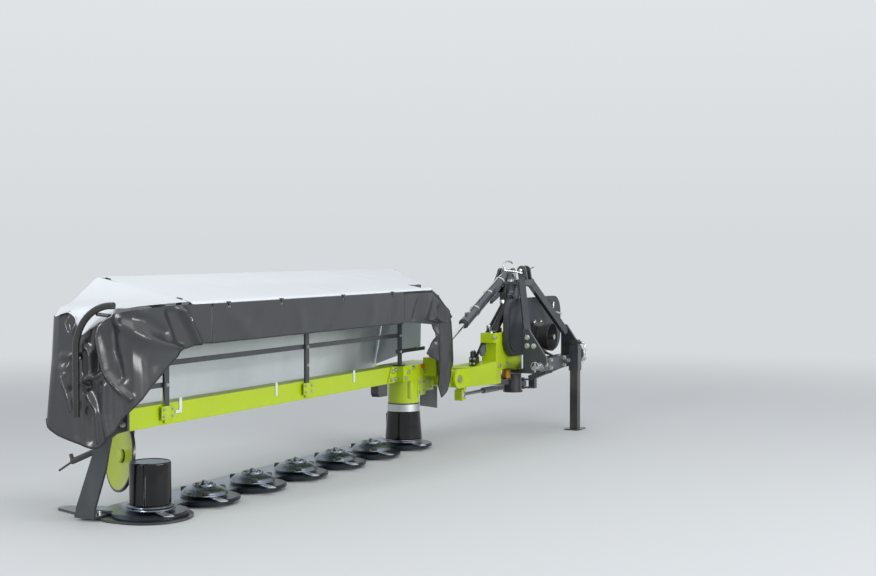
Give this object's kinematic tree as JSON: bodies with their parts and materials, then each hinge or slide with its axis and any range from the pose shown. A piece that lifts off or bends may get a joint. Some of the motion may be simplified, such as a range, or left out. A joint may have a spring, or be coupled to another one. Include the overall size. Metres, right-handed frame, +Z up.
{
  "type": "disc mower",
  "caption": "Three-point mounted side disc mower with an oval-disc cutterbar, folding boom, cloth guards, swath drums, lift cylinder and parking stand.",
  "frame": {"origin": "centre of the footprint's bounding box, on the ground", "axes": "+X out along the cutterbar away from the hitch, +Y the direction of travel, +Z up"},
  "size_m": [4.555, 1.1979, 1.112],
  "materials": {
    "lime_paint": "gloss",
    "slate_paint": "satin",
    "dark_paint": "satin",
    "steel": "satin",
    "bed_steel": "satin",
    "black_paint": "gloss",
    "guard_plastic": "matte",
    "bell_rubber": "matte",
    "chrome_rod": "polished",
    "spring_steel": "satin",
    "light_cloth": "satin",
    "dark_cloth": "satin"
  },
  "bodies": {
    "headstock": {"hitch_crossbar": "slate_paint", "hitch_plates": "slate_paint", "hitch_mast": "slate_paint", "drive_guard": "guard_plastic", "input_gearbox": "black_paint", "shaft_bell": "bell_rubber"},
    "stand": {"stand_leg": "dark_paint"},
    "boom": {"swing_post": "slate_paint", "swing_arm": "lime_paint", "stay_plate": "slate_paint", "relief_spring": "spring_steel", "transfer_box": "black_paint", "drive_shaft": "black_paint"},
    "strut_outer": {"strut_tube": "dark_paint"},
    "strut_inner": {"strut_rod": "steel"},
    "lift_outer": {"lift_barrel": "slate_paint"},
    "lift_inner": {"lift_rod": "chrome_rod"},
    "mower": {"hinge_head": "lime_paint", "mower_gearbox": "lime_paint", "drum_collar": "steel", "carrier_beam": "lime_paint", "bar_bracket": "slate_paint", "cutterbar_bed": "bed_steel", "skids": "dark_paint", "outer_strut": "slate_paint", "swath_carrier": "dark_paint", "guard_posts": "slate_paint", "cover_tubes": "slate_paint", "top_cloth": "light_cloth", "rear_cloth": "light_cloth", "inner_curtain": "dark_cloth"},
    "flap": {"front_band": "dark_cloth"},
    "wing": {"wing_frame": "dark_paint", "wing_top": "light_cloth", "wing_curtain": "dark_cloth"},
    "rotor_1": {"disc_1": "black_paint", "drum_outer": "black_paint"},
    "rotor_7": {"disc_7": "black_paint", "drum_inner": "black_paint"},
    "swather": {"swath_disc": "lime_paint"},
    "rotor_2": {"disc_2": "black_paint"},
    "rotor_3": {"disc_3": "black_paint"},
    "rotor_4": {"disc_4": "black_paint"},
    "rotor_5": {"disc_5": "black_paint"},
    "rotor_6": {"disc_6": "black_paint"}
  },
  "joints": [
    {"name": "stand_slide", "type": "slide", "parent": "headstock", "child": "stand", "axis": [0, 0, 1], "range_m": [0, 0.3]},
    {"name": "breakaway", "type": "hinge", "parent": "headstock", "child": "boom", "pos_m": [-1.6775, 0.191, 0.7], "axis": [0, 0, -1], "range_deg": [0, 20]},
    {"name": "strut_swing", "type": "hinge", "parent": "headstock", "child": "strut_outer", "pos_m": [-2.0375, 0.111, 0.284], "axis": [0, 0, -1], "range_deg": [0, 12.1]},
    {"name": "strut_slide", "type": "slide", "parent": "strut_outer", "child": "strut_inner", "axis": [0.9976, -0.0692, 0], "range_m": [-0.049, 0]},
    {"name": "fold", "type": "hinge", "parent": "boom", "child": "mower", "pos_m": [-1.0175, 0.011, 0.4], "axis": [0, -1, 0], "range_deg": [-5, 90]},
    {"name": "cylinder_swing", "type": "hinge", "parent": "boom", "child": "lift_outer", "pos_m": [-1.8775, 0.056, 1.05], "axis": [0, -1, 0], "range_deg": [-10.5, 0.8]},
    {"name": "cylinder_slide", "type": "slide", "parent": "lift_outer", "child": "lift_inner", "axis": [0.9113, 0, -0.4118], "range_m": [-0.317, 0.019]},
    {"name": "flap_hinge", "type": "hinge", "parent": "mower", "child": "flap", "pos_m": [0.7225, 0.1355, 0.972], "axis": [1, 0, 0], "range_deg": [0, 110]},
    {"name": "wing_hinge", "type": "hinge", "parent": "mower", "child": "wing", "pos_m": [1.7955, -0.089, 1.03083], "axis": [0, -0.979, 0.2036], "range_deg": [0, 90]},
    {"name": "disc_7_spin", "type": "hinge", "parent": "mower", "child": "rotor_7", "pos_m": [-0.6375, -0.089, 0.06], "axis": [0, 0, 1], "continuous": true},
    {"name": "disc_1_spin", "type": "hinge", "parent": "mower", "child": "rotor_1", "pos_m": [1.8225, -0.089, 0.06], "axis": [0, 0, 1], "continuous": true},
    {"name": "disc_2_spin", "type": "hinge", "parent": "mower", "child": "rotor_2", "pos_m": [1.4125, -0.089, 0.06], "axis": [0, 0, 1], "continuous": true},
    {"name": "disc_3_spin", "type": "hinge", "parent": "mower", "child": "rotor_3", "pos_m": [1.0025, -0.089, 0.06], "axis": [0, 0, 1], "continuous": true},
    {"name": "disc_4_spin", "type": "hinge", "parent": "mower", "child": "rotor_4", "pos_m": [0.5925, -0.089, 0.06], "axis": [0, 0, 1], "continuous": true},
    {"name": "disc_5_spin", "type": "hinge", "parent": "mower", "child": "rotor_5", "pos_m": [0.1825, -0.089, 0.06], "axis": [0, 0, 1], "continuous": true},
    {"name": "disc_6_spin", "type": "hinge", "parent": "mower", "child": "rotor_6", "pos_m": [-0.2275, -0.089, 0.06], "axis": [0, 0, 1], "continuous": true},
    {"name": "swath_spin", "type": "hinge", "parent": "mower", "child": "swather", "pos_m": [1.6545, -0.379, 0.238], "axis": [0.8723, -0.4776, 0.1045], "continuous": true}
  ],
  "couplings": [
    {"joint": "strut_swing", "follows": "breakaway", "ratio": 0.59525},
    {"joint": "strut_slide", "follows": "breakaway", "m_per_rad": -0.13458},
    {"joint": "cylinder_swing", "follows": "fold", "ratio": -0.1148},
    {"joint": "cylinder_slide", "follows": "fold", "m_per_rad": -0.20031},
    {"joint": "disc_1_spin", "follows": "disc_7_spin", "ratio": 1},
    {"joint": "disc_2_spin", "follows": "disc_7_spin", "ratio": -1},
    {"joint": "disc_3_spin", "follows": "disc_7_spin", "ratio": 1},
    {"joint": "disc_4_spin", "follows": "disc_7_spin", "ratio": -1},
    {"joint": "disc_5_spin", "follows": "disc_7_spin", "ratio": 1},
    {"joint": "disc_6_spin", "follows": "disc_7_spin", "ratio": -1}
  ]
}
